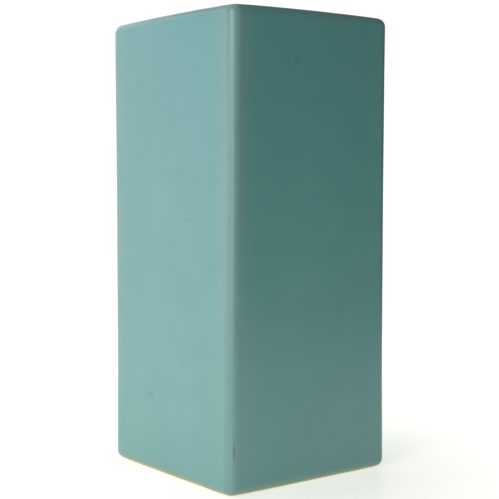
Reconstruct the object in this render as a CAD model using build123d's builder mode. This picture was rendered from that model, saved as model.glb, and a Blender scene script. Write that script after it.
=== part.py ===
"""Square pillar vase, slip-cast in buff stoneware and coated inside and out with a satin teal glaze.

The clay body is one casting: four walls, a floor and a standing foot ring round a shallow recess.
The glaze is fused on as three separate coats. The outer coat stops just above the foot, the liner
covers the inside, the two meet on the crest of the rim, and a thin panel covers the recess.

Millimetres, +Z up, origin at the centre of the foot plane.
"""

import os

from build123d import *

# Overall size, over the glaze
HEIGHT = 250.0
SIDE = 110.0

# Walls and floor, glaze included
WALL = 7.5
FLOOR = 10.0
GLAZE = 0.4

# Radii of the glazed surface
EDGE_RADIUS = 5.4
RIM_OUTER_RADIUS = 4.8
RIM_INNER_RADIUS = 2.4
FOOT_OUTER_RADIUS = 5.0
WELL_CORNER_RADIUS = 7.0
WELL_FLOOR_RADIUS = 6.0

# Foot: a bare ring that the vase stands on, round a shallow recess
GLAZE_LINE = 1.9
FOOT_WIDTH = 10.5
FOOT_INNER_RADIUS = 1.0
RECESS_DEPTH = 2.5
RECESS_CORNER_RADIUS = 5.0
RECESS_CEILING_RADIUS = 1.2
PANEL_GLAZE = 0.3
PANEL_MARGIN = 2.5


def square_vessel(skin):
    """The vase as an open vessel, with its whole surface cut back by the thickness of a skin."""
    side = SIDE - 2 * skin
    well_side = SIDE - 2 * WALL + 2 * skin
    floor = FLOOR - skin
    height = HEIGHT - skin
    with BuildPart() as vessel:
        with BuildSketch():
            RectangleRounded(side, side, EDGE_RADIUS - skin)
        extrude(amount=height)
        foot_edges = vessel.faces().sort_by(Axis.Z)[0].edges()
        rim_edges = vessel.faces().sort_by(Axis.Z)[-1].edges()
        fillet(foot_edges, FOOT_OUTER_RADIUS - skin)
        fillet(rim_edges, RIM_OUTER_RADIUS - skin)
        with BuildSketch(Plane.XY.offset(floor)):
            RectangleRounded(well_side, well_side, WELL_CORNER_RADIUS + skin)
        extrude(amount=height - floor, mode=Mode.SUBTRACT)
        rim = vessel.faces().filter_by(Axis.Z).sort_by(Axis.Z)[-1]
        fillet(rim.inner_wires()[0].edges(), RIM_INNER_RADIUS - skin)
        well_floor = vessel.faces().filter_by(Axis.Z).sort_by(Axis.Z)[1]
        fillet(well_floor.edges(), WELL_FLOOR_RADIUS + skin)
    return vessel.part


glazed_vessel = square_vessel(0.0)
bare_vessel = square_vessel(GLAZE)

# The two coats meet on the crest of the rim, midway between its two rounded edges
crest_inset = (WALL + RIM_OUTER_RADIUS - RIM_INNER_RADIUS) / 2
crest_side = SIDE - 2 * crest_inset
crest_radius = (EDGE_RADIUS + WELL_CORNER_RADIUS) / 2
recess_side = SIDE - 2 * GLAZE - 2 * FOOT_WIDTH
panel_side = recess_side - 2 * PANEL_MARGIN

# Clay body: walls, floor and foot ring in one casting
with BuildPart() as clay_body:
    add(bare_vessel)
    with BuildSketch():
        RectangleRounded(recess_side, recess_side, RECESS_CORNER_RADIUS)
    extrude(amount=RECESS_DEPTH, mode=Mode.SUBTRACT)
    recess_ceiling = clay_body.faces().filter_by(Axis.Z).sort_by(Axis.Z)[1]
    fillet(recess_ceiling.edges(), RECESS_CEILING_RADIUS)
    foot_ring = clay_body.faces().filter_by(Axis.Z).sort_by(Axis.Z)[0]
    fillet(foot_ring.inner_wires()[0].edges(), FOOT_INNER_RADIUS)

# Outer glaze: from the glaze line up the four faces and over the rim to its crest
with BuildPart() as outer_glaze:
    add(glazed_vessel)
    add(bare_vessel, mode=Mode.SUBTRACT)
    with BuildSketch():
        Rectangle(2 * SIDE, 2 * SIDE)
    extrude(amount=GLAZE_LINE, mode=Mode.SUBTRACT)
    with BuildSketch():
        RectangleRounded(crest_side, crest_side, crest_radius)
    extrude(amount=2 * HEIGHT, mode=Mode.SUBTRACT)

# Inner glaze: from the crest of the rim down the well and across its floor
with BuildPart() as inner_glaze:
    add(glazed_vessel)
    add(bare_vessel, mode=Mode.SUBTRACT)
    with BuildSketch(Plane.XY.offset(GLAZE_LINE)):
        RectangleRounded(crest_side, crest_side, crest_radius)
    extrude(amount=HEIGHT, mode=Mode.INTERSECT)

# Underside glaze: a thin panel on the ceiling of the foot's recess
with BuildPart() as underside_glaze:
    with BuildSketch(Plane.XY.offset(RECESS_DEPTH - PANEL_GLAZE)):
        RectangleRounded(panel_side, panel_side, RECESS_CORNER_RADIUS)
    extrude(amount=PANEL_GLAZE)

clay_body.part.label = "clay_body"
outer_glaze.part.label = "outer_glaze"
inner_glaze.part.label = "inner_glaze"
underside_glaze.part.label = "underside_glaze"

os.makedirs("parts", exist_ok=True)
export_step(clay_body.part, "parts/clay_body.step")
export_step(outer_glaze.part, "parts/outer_glaze.step")
export_step(inner_glaze.part, "parts/inner_glaze.step")
export_step(underside_glaze.part, "parts/underside_glaze.step")
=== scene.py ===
"""Square pillar vase in satin teal glaze, standing on a pale studio floor.

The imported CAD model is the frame. Its four solids are replaced by finer meshes of the same pieces:
the clay casting, the outer glaze coat, the liner glaze and the glazed panel under the foot. Each
mesh has the small shape changes that drying, firing and glazing leave. Lengths are in metres.
"""

import math

import bpy
import numpy as np
from mathutils import Matrix, Vector


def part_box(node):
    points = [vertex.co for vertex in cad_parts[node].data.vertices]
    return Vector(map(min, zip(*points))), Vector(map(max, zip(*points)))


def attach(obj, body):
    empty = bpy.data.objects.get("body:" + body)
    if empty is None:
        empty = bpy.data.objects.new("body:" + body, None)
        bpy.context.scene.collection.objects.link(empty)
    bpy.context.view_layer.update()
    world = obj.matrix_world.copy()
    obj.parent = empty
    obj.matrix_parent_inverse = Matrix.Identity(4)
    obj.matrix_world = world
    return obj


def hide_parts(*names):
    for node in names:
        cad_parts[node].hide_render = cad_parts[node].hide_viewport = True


MM = 0.001

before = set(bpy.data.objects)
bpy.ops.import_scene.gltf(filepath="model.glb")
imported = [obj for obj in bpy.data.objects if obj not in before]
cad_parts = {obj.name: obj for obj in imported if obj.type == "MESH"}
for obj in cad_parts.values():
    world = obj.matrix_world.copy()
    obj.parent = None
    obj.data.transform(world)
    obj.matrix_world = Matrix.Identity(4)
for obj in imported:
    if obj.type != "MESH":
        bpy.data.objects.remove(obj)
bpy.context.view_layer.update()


# ---------------------------------------------------------------- sizes read from the frame

coat_low, coat_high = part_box("outer_glaze")
_, clay_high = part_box("clay_body")
liner_low, liner_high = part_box("inner_glaze")
panel_low, panel_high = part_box("underside_glaze")

HEIGHT = coat_high[2]
HALF = coat_high[0]
GLAZE = HALF - clay_high[0]
GLAZE_LINE = coat_low[2]
CREST_HALF = liner_high[0]
FLOOR = liner_low[2] + GLAZE
RECESS_CEILING = panel_high[2]
PANEL_HALF = panel_high[0]
PANEL_FACE = panel_low[2]

# Radii and insets that the boxes don't show
EDGE_RADIUS = 5.4 * MM
RIM_OUTER_RADIUS = 4.8 * MM
RIM_INNER_RADIUS = 2.4 * MM
FOOT_OUTER_RADIUS = 5.0 * MM
WALL = 7.5 * MM
WELL_CORNER_RADIUS = 7.0 * MM
WELL_FLOOR_RADIUS = 6.0 * MM
FOOT_WIDTH = 10.5 * MM
FOOT_INNER_RADIUS = 1.0 * MM
RECESS_CORNER_RADIUS = 5.0 * MM
RECESS_CEILING_RADIUS = 1.2 * MM
WELL_HALF = HALF - WALL
RECESS_HALF = HALF - GLAZE - FOOT_WIDTH

# What drying and firing change. The spreads and the slope are ratios, and each reach of the rim's
# changes is a share of the height
FOOT_SPREAD = 0.0065
RIM_SPREAD = 0.0023
WAIST = 0.37 * MM
WALL_HOLLOW = 0.22 * MM
RIM_SAG = 0.57 * MM
RIM_SAG_REACH = 0.45
RIM_TIP_DIP = 0.25 * MM
RIM_TIP_REACH = 0.08
FOOT_TIP_LIFT = 0.60 * MM
FOOT_TIP_REACH = 10 * MM
RIM_SLOPE = 0.016
TWIST = math.radians(1.51)
RIPPLE = 0.045 * MM
RIPPLE_SIZE = 62 * MM
RIPPLE_FREE_HEIGHT = 12 * MM

# What glazing changes
GLAZE_THINNING = 0.36 * MM
GLAZE_ROLL = 0.14 * MM
GLAZE_LINE_WANDER = 0.16 * MM
GLAZE_LINE_SIZE = 26 * MM
GLAZE_LINE_FINE_SIZE = 7 * MM
GLAZE_LINE_FINE_SHARE = 0.4
GLAZE_LINE_TILT = 0.85 * MM
GLAZE_LIP_HEIGHT = 3 * MM
PANEL_WANDER = 0.35 * MM
PANEL_WANDER_SIZE = 18 * MM

# Random fields: the waves in each, and the seeds
WAVE_TERMS = 14
RIPPLE_X_SEED, RIPPLE_Y_SEED = 11, 23
LINE_SEED, LINE_FINE_SEED = 5, 6
PANEL_SEED = 9

# Mesh density: steps round an edge, and loops along a surface
CORNER_STEPS = 7
SIDE_STEPS = 56
EDGE_STEPS = 10
COAT_RIM_STEPS = 12
RIM_INNER_STEPS = 8
RECESS_EDGE_STEPS = 6
PANEL_EDGE_STEPS = 5
WALL_ROWS = 150
HIDDEN_ROWS = 50
STANDING_ROWS = 6
CLAY_CREST_ROWS = 3
COAT_CREST_ROWS = 2
LIP_ROWS = 15
LIP_CROWDING = 1.6

# The lip reaches full thickness 1/14 of the way along its loops, and its roll ends at 1/2.2
LIP_THICKENING = 14
LIP_ROLLING = 2.2

# A crease is shaded sharp from this angle
SHARP_ANGLE = math.radians(50)


# ---------------------------------------------------------------- loops and surfaces

def section(half, radius):
    """Points and outward normals round a rounded square, anticlockwise from its (-X, -Y) corner."""
    flat = half - radius
    arc = np.radians(np.linspace(0, 45, CORNER_STEPS + 1))
    run = np.linspace(-flat, flat, SIDE_STEPS + 1)[1:-1]
    start = np.radians(225) + arc
    end = np.radians(270) + arc[:-1]
    normals = np.concatenate([
        np.column_stack([np.cos(start), np.sin(start)]),
        np.column_stack([np.zeros_like(run), -np.ones_like(run)]),
        np.column_stack([np.cos(end), np.sin(end)]),
    ])
    centres = np.concatenate([
        np.tile([-flat, -flat], (len(start), 1)),
        np.column_stack([run, np.full_like(run, -flat)]),
        np.tile([flat, -flat], (len(end), 1)),
    ])
    points = centres + normals * radius
    turn = np.array([[0, 1], [-1, 0]])
    sides, facings = [points], [normals]
    for _ in range(3):
        sides.append(sides[-1] @ turn)
        facings.append(facings[-1] @ turn)
    return np.concatenate(sides), np.concatenate(facings)


def ring(family, offset, z):
    """One loop of a family of parallel rounded squares, moved outward by offset, at height z."""
    points, normals = family
    plan = points + normals * np.reshape(offset, (-1, 1))
    return np.column_stack([plan, np.broadcast_to(z, len(plan))])


OUTER = section(HALF, EDGE_RADIUS)
OUTER_THINNED = section(HALF, EDGE_RADIUS + GLAZE_THINNING)
WELL = section(WELL_HALF, WELL_CORNER_RADIUS)
CREST = section(CREST_HALF, (EDGE_RADIUS + WELL_CORNER_RADIUS) / 2)
RECESS = section(RECESS_HALF, RECESS_CORNER_RADIUS)
PANEL = section(PANEL_HALF, RECESS_CORNER_RADIUS)


def quarter(steps):
    """Angles of a quarter turn, in radians, both ends included."""
    return np.radians(np.linspace(0, 90, steps + 1))


def between(first, last, rows):
    """Loops part way from first to last, without the two ends."""
    return [first + (last - first) * k / (rows + 1) for k in range(1, rows + 1)]


def foot_edge(skin):
    """The rounded outer edge of the foot, from the standing face up to the wall."""
    radius = FOOT_OUTER_RADIUS - skin
    return [
        ring(OUTER, -skin - radius * (1 - math.sin(a)), radius * (1 - math.cos(a)))
        for a in quarter(EDGE_STEPS)
    ]


def rim_outer_edge(skin, family, steps=EDGE_STEPS):
    """The rounded outer edge of the rim, from the wall in to the crest."""
    radius = RIM_OUTER_RADIUS - skin
    spring = HEIGHT - skin - radius
    return [
        ring(family, -skin - radius * (1 - math.cos(a)), spring + radius * math.sin(a))
        for a in quarter(steps)
    ]


def rim_inner_edge(skin):
    """The rounded inner edge of the rim, from the crest down to the well's wall."""
    radius = RIM_INNER_RADIUS - skin
    return [
        ring(WELL, skin + radius * (1 - math.sin(a)), HEIGHT - skin - radius * (1 - math.cos(a)))
        for a in quarter(RIM_INNER_STEPS)
    ]


def well_floor_edge(skin):
    """The rounded edge of the well's floor, from its wall in to the flat."""
    radius = WELL_FLOOR_RADIUS + skin
    return [
        ring(WELL, skin - radius * (1 - math.cos(a)), FLOOR - skin + radius * (1 - math.sin(a)))
        for a in quarter(EDGE_STEPS)
    ]


def clay_outside():
    """The clay's outer surface from the edge of the standing face to the edge of the crest."""
    foot = foot_edge(GLAZE)
    rim = rim_outer_edge(GLAZE, OUTER)
    return foot + between(foot[-1], rim[0], HIDDEN_ROWS) + rim


def inside(skin, rows):
    """The well's surface from the crest down to the edge of its flat floor."""
    rim = rim_inner_edge(skin)
    floor = well_floor_edge(skin)
    return rim + between(rim[-1], floor[0], rows) + floor


def patch(loop):
    """A square grid of points that fills a loop, its sides on the loop, and its cells per side."""
    side = len(loop) // 4
    closed = np.vstack([loop, loop[:1]])
    south, east = closed[: side + 1], closed[side : 2 * side + 1]
    north, west = closed[2 * side : 3 * side + 1][::-1], closed[3 * side :][::-1]
    u = np.linspace(0, 1, side + 1)[:, None, None]
    v = np.linspace(0, 1, side + 1)[None, :, None]
    grid = (
        (1 - v) * south[:, None] + v * north[:, None]
        + (1 - u) * west[None] + u * east[None]
        - (1 - u) * (1 - v) * south[0] - u * (1 - v) * south[-1]
        - (1 - u) * v * north[0] - u * v * north[-1]
    )
    return grid, side


def swept_mesh(name, rows, patched=False):
    """A closed mesh through a list of loops. A patch closes each end, or else the two ends join."""
    count = len(rows[0])
    points = [np.vstack(rows)]
    faces = []
    around = np.arange(count)
    onward = (around + 1) % count
    for i in range(len(rows) - 1 if patched else len(rows)):
        here, there = i * count, ((i + 1) % len(rows)) * count
        quads = [here + around, here + onward, there + onward, there + around]
        faces.append(np.column_stack(quads))
    used = len(rows) * count
    ends = ((0, True), (len(rows) - 1, False)) if patched else ()
    for row, flip in ends:
        grid, side = patch(rows[row])
        index = np.full((side + 1, side + 1), -1)
        border = row * count + np.arange(4 * side + 1) % count
        border[-1] = row * count
        index[:, 0] = border[: side + 1]
        index[-1, :] = border[side : 2 * side + 1]
        index[::-1, -1] = border[2 * side : 3 * side + 1]
        index[0, ::-1] = border[3 * side :]
        inner = index < 0
        index[inner] = used + np.arange(inner.sum())
        used += inner.sum()
        points.append(grid[inner])
        a, b, c, d = index[:-1, :-1], index[1:, :-1], index[1:, 1:], index[:-1, 1:]
        order = (a, d, c, b) if flip else (a, b, c, d)
        faces.append(np.column_stack([corner.ravel() for corner in order]))
    mesh = bpy.data.meshes.new(name)
    mesh.from_pydata(settle(np.vstack(points)).tolist(), [], np.vstack(faces).tolist())
    mesh.set_sharp_from_angle(angle=SHARP_ANGLE)
    piece = bpy.data.objects.new(name, mesh)
    bpy.context.collection.objects.link(piece)
    return piece


# ---------------------------------------------------------------- shape changes from making

def waves(points, size, seed):
    """A smooth random field, mostly between -1.5 and 1.5, with swells about size across."""
    random = np.random.default_rng(seed)
    directions = random.normal(size=(WAVE_TERMS, 3))
    directions /= np.linalg.norm(directions, axis=1)[:, None]
    lengths = size * random.uniform(0.7, 1.6, WAVE_TERMS)
    phases = random.uniform(0, 2 * math.pi, WAVE_TERMS)
    angles = points @ (directions * 2 * math.pi / lengths[:, None]).T + phases
    return np.sin(angles).sum(axis=1) / math.sqrt(WAVE_TERMS)


def settle(points):
    """Moves points as drying and firing move a cast vase.

    It spreads a little, most at the foot. It gets a slight waist, hollow walls, rim corners that
    sag, foot corners sponged a little short, a rim a little out of level, and a slight twist up its
    height.
    """
    x, y, z = points.T
    rise = np.clip(z / HEIGHT, 0, 1)
    belly = np.sin(math.pi * rise)
    across_x = 1 - np.minimum(np.abs(x) / HALF, 1) ** 2
    across_y = 1 - np.minimum(np.abs(y) / HALF, 1) ** 2
    pull_x = WAIST * belly + WALL_HOLLOW * belly * across_y
    pull_y = WAIST * belly + WALL_HOLLOW * belly * across_x
    free = np.clip(z / RIPPLE_FREE_HEIGHT, 0, 1)
    swell_x = RIPPLE * free * waves(points, RIPPLE_SIZE, RIPPLE_X_SEED)
    swell_y = RIPPLE * free * waves(points, RIPPLE_SIZE, RIPPLE_Y_SEED)
    share_x, share_y = x / HALF, y / HALF
    diagonal = np.clip(np.minimum(np.abs(share_x), np.abs(share_y)), 0, 1)
    below_rim = np.clip((rise - (1 - RIM_SAG_REACH)) / RIM_SAG_REACH, 0, 1)
    near_rim = np.clip((rise - (1 - RIM_TIP_REACH)) / RIM_TIP_REACH, 0, 1)
    near_foot = np.clip(1 - z / FOOT_TIP_REACH, 0, 1)
    sag = RIM_SAG * diagonal ** 2 * below_rim ** 2
    sag += RIM_TIP_DIP * diagonal ** 8 * near_rim ** 2
    sag -= FOOT_TIP_LIFT * diagonal ** 8 * near_foot ** 2
    slope = RIM_SLOPE * (HALF - y) * rise
    x = x - share_x * pull_x + np.abs(share_x) ** 3 * swell_x
    y = y - share_y * pull_y + np.abs(share_y) ** 3 * swell_y
    spread = 1 + FOOT_SPREAD + (RIM_SPREAD - FOOT_SPREAD) * rise
    x, y = x * spread, y * spread
    turn = TWIST * (rise - 0.5)
    return np.column_stack([
        x * np.cos(turn) - y * np.sin(turn),
        x * np.sin(turn) + y * np.cos(turn),
        z - sag - slope,
    ])


# ---------------------------------------------------------------- the four pieces

def clay_casting():
    """Walls, floor and foot ring in one piece, with the recess under the foot."""
    ceiling_edge = [
        ring(
            RECESS,
            -RECESS_CEILING_RADIUS * (1 - math.sin(a)),
            RECESS_CEILING - RECESS_CEILING_RADIUS * (1 - math.cos(a)),
        )
        for a in quarter(RECESS_EDGE_STEPS)
    ]
    inner_edge = [
        ring(
            RECESS,
            FOOT_INNER_RADIUS * (1 - math.cos(a)),
            FOOT_INNER_RADIUS * (1 - math.sin(a)),
        )
        for a in quarter(RECESS_EDGE_STEPS)
    ]
    wall = clay_outside()
    well = inside(GLAZE, HIDDEN_ROWS)
    rows = ceiling_edge + inner_edge
    rows += between(inner_edge[-1], wall[0], STANDING_ROWS) + wall
    rows += between(wall[-1], well[0], CLAY_CREST_ROWS) + well
    return swept_mesh("clay_casting", rows, patched=True)


def on_foot(skin, z):
    """How far in from the vase's side the foot's rounded edge is, at height z."""
    radius = FOOT_OUTER_RADIUS - skin
    drop = np.clip(radius - z, 0, radius)
    return skin + radius - np.sqrt(radius ** 2 - drop ** 2)


def outer_coat():
    """The glaze from its line above the foot, up the four faces and over the rim to the crest."""
    base = ring(OUTER, 0, 0)
    line = GLAZE_LINE + GLAZE_LINE_WANDER * waves(base, GLAZE_LINE_SIZE, LINE_SEED)
    fine = waves(base, GLAZE_LINE_FINE_SIZE, LINE_FINE_SEED)
    line += GLAZE_LINE_FINE_SHARE * GLAZE_LINE_WANDER * fine
    line -= GLAZE_LINE_TILT * np.clip(base[:, 0] / HALF, 0, 1) ** 4
    lip_top = FOOT_OUTER_RADIUS + GLAZE_LIP_HEIGHT
    rows = []
    # The lower lip rolls out from the clay, then runs up into the wall
    for share in np.linspace(0, 1, LIP_ROWS):
        height = line + (lip_top - line) * share ** LIP_CROWDING
        thickness = min(1, math.sqrt(share * LIP_THICKENING))
        inset = on_foot(GLAZE, height) * (1 - thickness) + on_foot(0, height) * thickness
        roll = GLAZE_ROLL * math.sin(math.pi * min(1, share * LIP_ROLLING))
        rows.append(ring(OUTER_THINNED, roll - inset, height))
    rim = rim_outer_edge(0, OUTER_THINNED, COAT_RIM_STEPS)
    crest = ring(CREST, 0, HEIGHT)
    rows += between(rows[-1], rim[0], WALL_ROWS) + rim
    rows += between(rim[-1], crest, COAT_CREST_ROWS) + [crest]
    under_crest = ring(CREST, 0, HEIGHT - GLAZE)
    back = [row for row in clay_outside() if row[0][2] > lip_top][::-1]
    rows += [under_crest] + between(under_crest, back[0], 1) + back
    # The back comes down the clay to join the lip
    for share in (0.66, 0.33):
        height = line + (lip_top - line) * share
        rows.append(ring(OUTER, -on_foot(GLAZE, height), height))
    return swept_mesh("outer_coat", rows)


def liner_coat():
    """The glaze from the crest of the rim down the well and across its floor."""
    crest = ring(CREST, 0, HEIGHT)
    top = inside(0, WALL_ROWS)
    under = inside(GLAZE, HIDDEN_ROWS)[::-1]
    under_crest = ring(CREST, 0, HEIGHT - GLAZE)
    rows = under + between(under[-1], under_crest, 1) + [under_crest, crest]
    rows += between(crest, top[0], COAT_CREST_ROWS) + top
    return swept_mesh("liner_coat", rows, patched=True)


def underside_panel():
    """The thin glazed panel on the ceiling of the recess, with a soft edge."""
    thickness = RECESS_CEILING - PANEL_FACE
    base = ring(PANEL, 0, 0)
    wander = PANEL_WANDER * waves(base, PANEL_WANDER_SIZE, PANEL_SEED)
    edge = [
        ring(
            PANEL,
            wander - thickness * 2 * (1 - math.sin(a)),
            RECESS_CEILING - thickness * math.cos(a),
        )
        for a in quarter(PANEL_EDGE_STEPS)
    ]
    return swept_mesh("underside_panel", edge, patched=True)


# ---------------------------------------------------------------- materials

class Nodes:
    """A material's node tree, with short calls to add nodes. Noise scales are swells per metre."""

    def __init__(self, name):
        self.material = bpy.data.materials.new(name)
        self.material.use_nodes = True
        self.tree = self.material.node_tree
        self.shader = self.tree.nodes["Principled BSDF"]
        self.place = self.add("ShaderNodeTexCoord").outputs["Object"]

    def add(self, kind, **settings):
        node = self.tree.nodes.new(kind)
        for key, value in settings.items():
            setattr(node, key, value)
        return node

    def feed(self, socket, value):
        if isinstance(value, bpy.types.NodeSocket):
            self.tree.links.new(value, socket)
        else:
            socket.default_value = value

    def math(self, operation, first, second=0.0):
        node = self.add("ShaderNodeMath", operation=operation)
        for socket, value in zip(node.inputs, (first, second)):
            self.feed(socket, value)
        return node.outputs[0]

    def times(self, first, second):
        return self.math("MULTIPLY", first, second)

    def ramp(self, value, low, high, to_low=0.0, to_high=1.0):
        node = self.add("ShaderNodeMapRange", interpolation_type="SMOOTHSTEP")
        for socket, entry in zip(node.inputs, (value, low, high, to_low, to_high)):
            self.feed(socket, entry)
        return node.outputs[0]

    def noise(self, scale, detail=2.0, roughness=0.5, place=None):
        node = self.add("ShaderNodeTexNoise")
        self.feed(node.inputs["Vector"], place or self.place)
        node.inputs["Scale"].default_value = scale
        node.inputs["Detail"].default_value = detail
        node.inputs["Roughness"].default_value = roughness
        return node.outputs["Fac"]

    def mix(self, share, first, second):
        node = self.add("ShaderNodeMix", data_type="RGBA")
        self.feed(node.inputs["Factor"], share)
        self.feed(node.inputs["A"], first)
        self.feed(node.inputs["B"], second)
        return node.outputs["Result"]

    def stretched(self, scale):
        node = self.add("ShaderNodeMapping")
        self.feed(node.inputs["Vector"], self.place)
        node.inputs["Scale"].default_value = scale
        return node.outputs["Vector"]

    def axes(self):
        node = self.add("ShaderNodeSeparateXYZ")
        self.feed(node.inputs[0], self.place)
        return node.outputs

    def spot(self, centre, reach, turn):
        """A soft ellipsoid mask: 1 at centre, 0 beyond reach, its half size on each axis."""
        node = self.add("ShaderNodeMapping", vector_type="TEXTURE")
        self.feed(node.inputs["Vector"], self.place)
        node.inputs["Location"].default_value = centre
        node.inputs["Rotation"].default_value = turn
        node.inputs["Scale"].default_value = reach
        length = self.add("ShaderNodeVectorMath", operation="LENGTH")
        self.feed(length.inputs[0], node.outputs["Vector"])
        return self.ramp(length.outputs["Value"], 0.25, 1.0, 1.0, 0.0)

    def bump(self, height, distance, normal=None):
        node = self.add("ShaderNodeBump")
        node.inputs["Distance"].default_value = distance
        node.inputs["Strength"].default_value = 1.0
        self.feed(node.inputs["Height"], height)
        if normal is not None:
            self.feed(node.inputs["Normal"], normal)
        return node.outputs["Normal"]


# Linear colours
TEAL = (0.108, 0.309, 0.296, 1)
TEAL_DEEP = (0.101, 0.297, 0.284, 1)
TEAL_PALE = (0.200, 0.370, 0.340, 1)
TEAL_DARK = (0.035, 0.105, 0.098, 1)
BREAK_GREY_AND_SHEEN = (0.185, 0.312, 0.290, 1)
SMUDGE = (0.052, 0.205, 0.200, 1)
# Painted shade: the glaze colour toward the rim
TEAL_TOP_SHADE = (0.088, 0.280, 0.275, 1)
TEAL_THIN = (0.158, 0.274, 0.205, 1)
OLIVE = (0.245, 0.285, 0.175, 1)
CLAY = (0.330, 0.342, 0.240, 1)
CLAY_PALE = (0.405, 0.412, 0.303, 1)
CLAY_TOAST = (0.220, 0.170, 0.095, 1)
SHEET = (0.79, 0.81, 0.76, 1)
SHEET_PALE = (0.81, 0.83, 0.78, 1)
SHEET_GLOW = (0.98, 1.0, 0.925, 1)

# How far each change of the glaze's colour reaches
THIN_FRINGE = 5.5 * MM
OLIVE_FRINGE = 1.8 * MM
# Reach of the greyer break and painted sheen by the upright edges
EDGE_BREAK_AND_SHEEN = 19 * MM
# Width of the painted highlight along each upright edge
EDGE_HIGHLIGHT_WIDTH = 1.6 * MM
RIM_BREAK_START, RIM_BREAK_END = 7 * MM, 2 * MM
POOL_HEIGHT = 60 * MM

# Depths of the relief, and how strongly glaze reflects
PEEL = 0.024 * MM
GLAZE_GRAIN = 0.006 * MM
PINHOLE_DEPTH = 0.03 * MM
NICK_DEPTH = 0.15 * MM
CLAY_GRAIN = 0.05 * MM
SPONGE_MARKS = 0.06 * MM
GLAZE_IOR = 1.7


def glaze_material(name, roughness, outside=False, pooled=False):
    """Opaque satin glaze: mottled colour, fine specks, pinholes, a paler break on edges, painted
    shade toward the rim, and painted sheen and a painted highlight on the upright edges.

    outside adds what only the outer coat has, and pooled adds what only the liner has.
    """
    n = Nodes(name)
    x, y, z = n.axes()
    mottle = n.ramp(n.noise(24, detail=4, roughness=0.55), 0.35, 0.68)
    colour = n.mix(mottle, TEAL_DEEP, TEAL)
    clouds = n.ramp(n.noise(90, detail=3), 0.45, 0.75)
    colour = n.mix(n.times(clouds, 0.05), colour, TEAL_PALE)
    specks = n.ramp(n.noise(1500, detail=1), 0.70, 0.80)
    colour = n.mix(n.times(specks, 0.35), colour, TEAL_DARK)

    # Painted shade darkens the outer glaze toward the rim, and the glaze thins to olive just above
    # the bare clay
    if outside:
        colour = n.mix(n.ramp(z, 0.45 * HEIGHT, HEIGHT, 0.0, 0.5), colour, TEAL_TOP_SHADE)
        share_x = n.math("DIVIDE", n.math("MAXIMUM", x, 0.0), HALF)
        tilt = n.times(n.math("POWER", share_x, 4.0), GLAZE_LINE_TILT)
        above_line = n.math("ADD", n.math("SUBTRACT", z, GLAZE_LINE), tilt)
        colour = n.mix(n.ramp(above_line, 0, THIN_FRINGE, 1.0, 0.0), colour, TEAL_THIN)
        colour = n.mix(n.ramp(above_line, 0, OLIVE_FRINGE, 1.0, 0.0), colour, OLIVE)

    # The glaze thins toward the four upright edges and the rim, and the pale clay shows through. By
    # the upright edges the grey is also a painted sheen, and a pale line on each is a painted
    # highlight.
    # Nearness is the lesser of |x| and |y|, which is greatest on an upright edge, at arris
    nearness = n.math("MINIMUM", n.math("ABSOLUTE", x), n.math("ABSOLUTE", y))
    arris = HALF - EDGE_RADIUS * (1 - math.sin(math.radians(45)))
    uneven = n.times(n.math("SUBTRACT", n.noise(160, detail=3), 0.5), 0.9 * MM)
    highlight_nearness = n.math("ADD", nearness, uneven)
    # Glaze break and painted sheen: greyer near the upright edges, more toward the top and on the
    # front
    edge_break_and_sheen = n.ramp(nearness, HALF - EDGE_BREAK_AND_SHEEN, arris)
    edge_break_and_sheen = n.times(edge_break_and_sheen, n.ramp(z, 0, 0.8 * HEIGHT, 0.30, 0.58))
    edge_break_and_sheen = n.times(edge_break_and_sheen, n.ramp(y, 0, HALF, 1.0, 0.3))
    colour = n.mix(edge_break_and_sheen, colour, BREAK_GREY_AND_SHEEN)
    rim_break = n.ramp(z, HEIGHT - RIM_BREAK_START, HEIGHT - RIM_BREAK_END, 0.0, 0.5)
    colour = n.mix(rim_break, colour, BREAK_GREY_AND_SHEEN)
    # Painted highlight: a thin pale line along each upright edge
    line = n.ramp(highlight_nearness, arris - EDGE_HIGHLIGHT_WIDTH, arris - 0.15 * MM)
    colour = n.mix(n.times(line, 0.15), colour, TEAL_PALE)

    # The liner pools toward the well's floor and in its corners
    if pooled:
        depth = n.ramp(z, FLOOR, FLOOR + POOL_HEIGHT, 0.55, 0.0)
        colour = n.mix(depth, colour, TEAL_DEEP)
        corner = n.ramp(nearness, WELL_HALF - WELL_CORNER_RADIUS, WELL_HALF - 2 * MM)
        colour = n.mix(n.times(corner, 0.35), colour, TEAL_DARK)

    # Small stains and nicks, broken up by a fine noise
    dents = None
    if outside:
        broken = n.ramp(n.noise(900, detail=2), 0.30, 0.52)
        for centre, reach, turn, share in SMUDGES:
            mask = n.times(n.spot(centre, reach, turn), broken)
            colour = n.mix(n.times(mask, share), colour, SMUDGE)
        for centre, reach, turn, share in NICKS:
            nick = n.spot(centre, reach, turn)
            mask = n.times(nick, broken)
            colour = n.mix(n.times(mask, share), colour, TEAL_DARK)
            dents = nick if dents is None else n.math("MAXIMUM", dents, nick)

    n.feed(n.shader.inputs["Base Color"], colour)
    rough = n.ramp(n.noise(70, detail=3), 0.3, 0.7, roughness - 0.04, roughness + 0.05)
    n.feed(n.shader.inputs["Roughness"], rough)
    n.shader.inputs["IOR"].default_value = GLAZE_IOR
    n.shader.inputs["Specular IOR Level"].default_value = 0.5

    peel = n.bump(n.noise(260, detail=2), PEEL)
    grain = n.bump(n.noise(1400, detail=2), GLAZE_GRAIN, normal=peel)
    pinholes = n.add("ShaderNodeTexVoronoi", feature="F1")
    n.feed(pinholes.inputs["Vector"], n.place)
    pinholes.inputs["Scale"].default_value = 130
    hole = n.ramp(pinholes.outputs["Distance"], 0.010, 0.040, -1.0, 0.0)
    chosen = n.ramp(n.noise(40, detail=1), 0.66, 0.68)
    normal = n.bump(n.times(hole, chosen), PINHOLE_DEPTH, normal=grain)
    if dents is not None:
        normal = n.bump(n.times(dents, -1.0), NICK_DEPTH, normal=normal)
    n.feed(n.shader.inputs["Normal"], normal)
    return n.material


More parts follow.
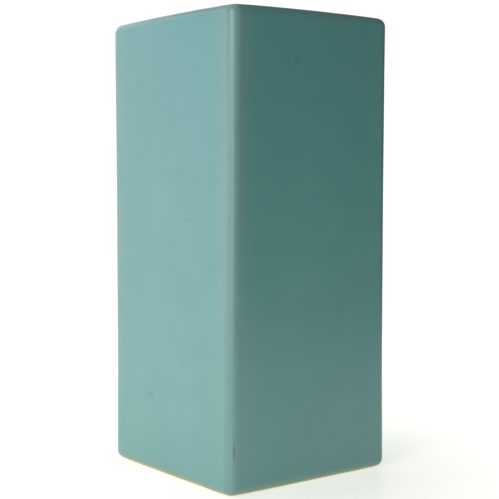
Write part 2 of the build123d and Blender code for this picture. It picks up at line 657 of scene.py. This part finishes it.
def clay_material():
    """Bare buff stoneware, toasted where it meets the glaze, with fine grog and iron specks."""
    n = Nodes("bare_buff_stoneware")
    _, _, z = n.axes()
    body = n.mix(n.ramp(n.noise(120, detail=5, roughness=0.6), 0.35, 0.65), CLAY, CLAY_PALE)
    grit = n.ramp(n.noise(2200, detail=1), 0.62, 0.78)
    body = n.mix(n.times(grit, 0.5), body, CLAY_TOAST)
    iron = n.ramp(n.noise(700, detail=1), 0.74, 0.80)
    body = n.mix(n.times(iron, 0.8), body, CLAY_TOAST)
    flash = n.ramp(z, GLAZE_LINE - 0.9 * MM, GLAZE_LINE + 0.2 * MM, 0.0, 0.30)
    body = n.mix(flash, body, CLAY_TOAST)
    n.feed(n.shader.inputs["Base Color"], body)
    n.feed(n.shader.inputs["Roughness"], n.ramp(n.noise(400, detail=2), 0.3, 0.7, 0.78, 0.92))
    grain = n.bump(n.noise(2600, detail=4, roughness=0.65), CLAY_GRAIN)
    strokes = n.noise(500, detail=3, place=n.stretched((1, 1, 3)))
    n.feed(n.shader.inputs["Normal"], n.bump(strokes, SPONGE_MARKS, normal=grain))
    return n.material


def floor_material():
    """Pale satin sheet glowing a little from beneath, as a product table does, with painted shadow
    round and under the vase.
    """
    n = Nodes("pale_studio_sheet")
    tone = n.ramp(n.noise(3, detail=2), 0.3, 0.7)
    n.feed(n.shader.inputs["Base Color"], n.mix(tone, SHEET, SHEET_PALE))
    n.shader.inputs["Roughness"].default_value = 0.35
    n.shader.inputs["Emission Color"].default_value = SHEET_GLOW
    reach = n.add("ShaderNodeVectorMath", operation="LENGTH")
    n.feed(reach.inputs[0], n.place)
    # Painted shadow: the glow is dimmer close round the vase
    glow_and_painted_shadow = n.ramp(reach.outputs["Value"], 1.2 * HALF, 3.5 * HALF, 0.575, 0.72)
    x, y, _ = n.axes()
    beside = n.math("MAXIMUM", n.math("ABSOLUTE", x), n.math("ABSOLUTE", y))
    # Painted shadow: no glow under the foot
    glow_and_painted_shadow = n.times(glow_and_painted_shadow, n.ramp(beside, HALF - 9 * MM, HALF - 4 * MM))
    n.feed(n.shader.inputs["Emission Strength"], glow_and_painted_shadow)
    return n.material


def mm(*values):
    """Millimetres to metres."""
    return tuple(value * MM for value in values)


def on_left(x, z):
    """A point on the face toward -Y."""
    return x * MM, -HALF, z * MM


def on_right(y, z):
    """A point on the face toward +X."""
    return HALF, y * MM, z * MM


# Small faults in the outer glaze: centre, half size on each axis, turn on each axis, and strength
NICKS = [
    (mm(53.8, -52.3, 24), mm(0.9, 0.7, 8.5), (0, 0, 0), 0.9),
    (mm(54.3, -50.9, 88), mm(0.8, 0.5, 6.0), (0, 0, 0), 0.35),
    (mm(20.6, -54.5, 2.9), mm(1.3, 2.0, 0.7), (0, 0, 0), 0.6),
    (mm(54.6, -8.7, 2.9), mm(2.0, 1.0, 0.9), (0, 0, 0), 0.6),
]
SMUDGES = [
    (on_left(18.0, 139.8), mm(6.5, 4.0, 1.9), (0, -0.26, 0), 0.30),
    (on_left(4.3, 128.3), mm(1.6, 4.0, 1.2), (0, 0, 0), 0.45),
    (on_left(-16.5, 43.2), mm(4.2, 4.0, 1.5), (0, 0.42, 0), 0.70),
    (on_left(-12.0, 235.7), mm(3.0, 4.0, 4.5), (0, 0, 0), 0.15),
    (on_left(-28.8, 213.9), mm(2.2, 4.0, 2.2), (0, 0, 0), 0.20),
    (on_right(-12.0, 222.0), mm(4.0, 2.4, 3.4), (0, 0, 0), 0.60),
    (on_right(-0.8, 221.4), mm(4.0, 2.0, 2.2), (0, 0, 0), 0.50),
    (on_right(-12.4, 198.2), mm(4.0, 1.8, 1.8), (0, 0, 0), 0.45),
    (on_right(-35.5, 86.4), mm(4.0, 8.0, 1.3), (-0.72, 0, 0), 0.25),
]


# ---------------------------------------------------------------- build and place the pieces

satin = glaze_material("satin_teal_glaze", roughness=0.33, outside=True)
liner = glaze_material("liner_teal_glaze", roughness=0.30, pooled=True)
thin = glaze_material("thin_teal_glaze", roughness=0.46)

for piece, node, slot, material in (
    (clay_casting(), "clay_body", "bare_clay", clay_material()),
    (outer_coat(), "outer_glaze", "satin_glaze", satin),
    (liner_coat(), "inner_glaze", "liner_glaze", liner),
    (underside_panel(), "underside_glaze", "underside_glaze", thin),
):
    piece.data.materials.append(material)
    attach(piece, "root")
    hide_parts(node)


# ---------------------------------------------------------------- floor, light and camera

FLOOR_RADIUS = 0.60
FLOOR_RINGS = 24
FLOOR_SPOKES = 96
FLOOR_CROWDING = 1.4


def studio_floor():
    """A round sheet of rings of faces, closer together toward the vase."""
    mesh = bpy.data.meshes.new("studio_floor")
    turns = np.linspace(0, 2 * math.pi, FLOOR_SPOKES + 1)[:-1]
    radii = FLOOR_RADIUS * (np.arange(FLOOR_RINGS + 1) / FLOOR_RINGS) ** FLOOR_CROWDING
    points = [(0.0, 0.0, 0.0)]
    for radius in radii[1:]:
        points += [(radius * math.cos(t), radius * math.sin(t), 0.0) for t in turns]
    spokes = [(k, (k + 1) % FLOOR_SPOKES) for k in range(FLOOR_SPOKES)]
    faces = [(0, 1 + k, 1 + after) for k, after in spokes]
    for i in range(FLOOR_RINGS - 1):
        a, b = 1 + FLOOR_SPOKES * i, 1 + FLOOR_SPOKES * (i + 1)
        faces += [(a + k, b + k, b + after, a + after) for k, after in spokes]
    mesh.from_pydata(points, [], faces)
    sheet = bpy.data.objects.new("studio_floor", mesh)
    mesh.materials.append(floor_material())
    bpy.context.collection.objects.link(sheet)
    return sheet


floor = studio_floor()


def softbox(name, place, aim, width, height, radiance, colour=(1, 1, 1)):
    """A rectangular soft light that faces aim. Its energy is its radiance times its area and pi."""
    light = bpy.data.lights.new(name, "AREA")
    light.shape = "RECTANGLE"
    light.size, light.size_y = width, height
    light.energy = radiance * math.pi * width * height
    light.color = colour
    box = bpy.data.objects.new(name, light)
    box.location = place
    box.rotation_euler = (Vector(aim) - Vector(place)).to_track_quat("-Z", "Y").to_euler()
    box.visible_camera = False
    bpy.context.collection.objects.link(box)


# Upright strip lights in two tiers, on an arc from beside the camera round its left to beyond the
# vase. Each row is an azimuth in degrees and a radiance
STRIP_ARC = 0.90
STRIP_STEP = math.radians(20)
STRIP_LENGTH = 0.55
STUDIO_WHITE = (1.01, 0.98, 1.03)
LOW_TIER = 0.075
HIGH_TIER = 0.625
LOW_STRIPS = (
    (-170, 0.8), (-150, 1.5), (-130, 1.0), (-110, 1.75),
    (-90, 1.25), (-70, 0.55), (-50, 2.2), (-30, 0.1),
)
HIGH_STRIPS = (
    (150, 1.1), (170, 1.5), (-170, 1.75), (-150, 1.45), (-130, 0.55), (-70, 6.3),
)
STRIP_WIDTH = 2 * STRIP_ARC * math.tan(STRIP_STEP / 2)
for middle, strips in ((LOW_TIER, LOW_STRIPS), (HIGH_TIER, HIGH_STRIPS)):
    for azimuth, radiance in strips:
        bearing = math.radians(azimuth)
        place = (STRIP_ARC * math.cos(bearing), STRIP_ARC * math.sin(bearing), middle)
        aim = (0, 0, middle)
        softbox("strip_light", place, aim, STRIP_WIDTH, STRIP_LENGTH, radiance, STUDIO_WHITE)
softbox(
    "overhead_softbox", place=(-0.2, -0.2, 1.1), aim=(0, 0, 0),
    width=1.0, height=1.0, radiance=0.8,
)
softbox(
    "backdrop_glow", place=(-1.10, 0.85, 0.17), aim=(0, 0, 0.17),
    width=1.4, height=0.85, radiance=0.58,
)

# The camera sees a white surround, and everything else a dim one
BACKDROP_STRENGTH = 1.05
SURROUND_STRENGTH = 0.086

world = bpy.data.worlds.new("studio")
bpy.context.scene.world = world
world.use_nodes = True
sky = world.node_tree
backdrop = sky.nodes["Background"]
backdrop.inputs["Color"].default_value = (1, 1, 1, 1)
backdrop.inputs["Strength"].default_value = BACKDROP_STRENGTH
surround = sky.nodes.new("ShaderNodeBackground")
surround.inputs["Color"].default_value = (0.98, 1, 1, 1)
surround.inputs["Strength"].default_value = SURROUND_STRENGTH
seen = sky.nodes.new("ShaderNodeLightPath")
choose = sky.nodes.new("ShaderNodeMixShader")
sky.links.new(seen.outputs["Is Camera Ray"], choose.inputs["Fac"])
sky.links.new(surround.outputs[0], choose.inputs[1])
sky.links.new(backdrop.outputs[0], choose.inputs[2])
sky.links.new(choose.outputs[0], sky.nodes["World Output"].inputs["Surface"])

# The camera stands off the near upright edge, lower than the rim, and looks slightly down. The
# lens is in millimetres, and the shift is a share of the sensor's width
CAMERA_PLACE = (0.4973, -0.3995, 0.1601)
CAMERA_HEADING = math.radians(52.17)
CAMERA_DIP = math.radians(3.464)
SENSOR_WIDTH = 36.0
FOCAL_LENGTH = 81.68
SIDE_SHIFT = 0.04

forward = Vector((
    -math.sin(CAMERA_HEADING) * math.cos(CAMERA_DIP),
    math.cos(CAMERA_HEADING) * math.cos(CAMERA_DIP),
    -math.sin(CAMERA_DIP),
))
right = Vector((math.cos(CAMERA_HEADING), math.sin(CAMERA_HEADING), 0))
up = right.cross(forward)
axes = Matrix((right, up, -forward)).transposed().to_4x4()
lens = bpy.data.cameras.new("camera")
lens.sensor_width = SENSOR_WIDTH
lens.lens = FOCAL_LENGTH
lens.shift_x = SIDE_SHIFT
lens.clip_start, lens.clip_end = 0.02, 50
camera = bpy.data.objects.new("camera", lens)
camera.matrix_world = Matrix.Translation(CAMERA_PLACE) @ axes
bpy.context.collection.objects.link(camera)

scene = bpy.context.scene
scene.camera = camera
scene.view_settings.view_transform = "Standard"
scene.view_settings.look = "None"
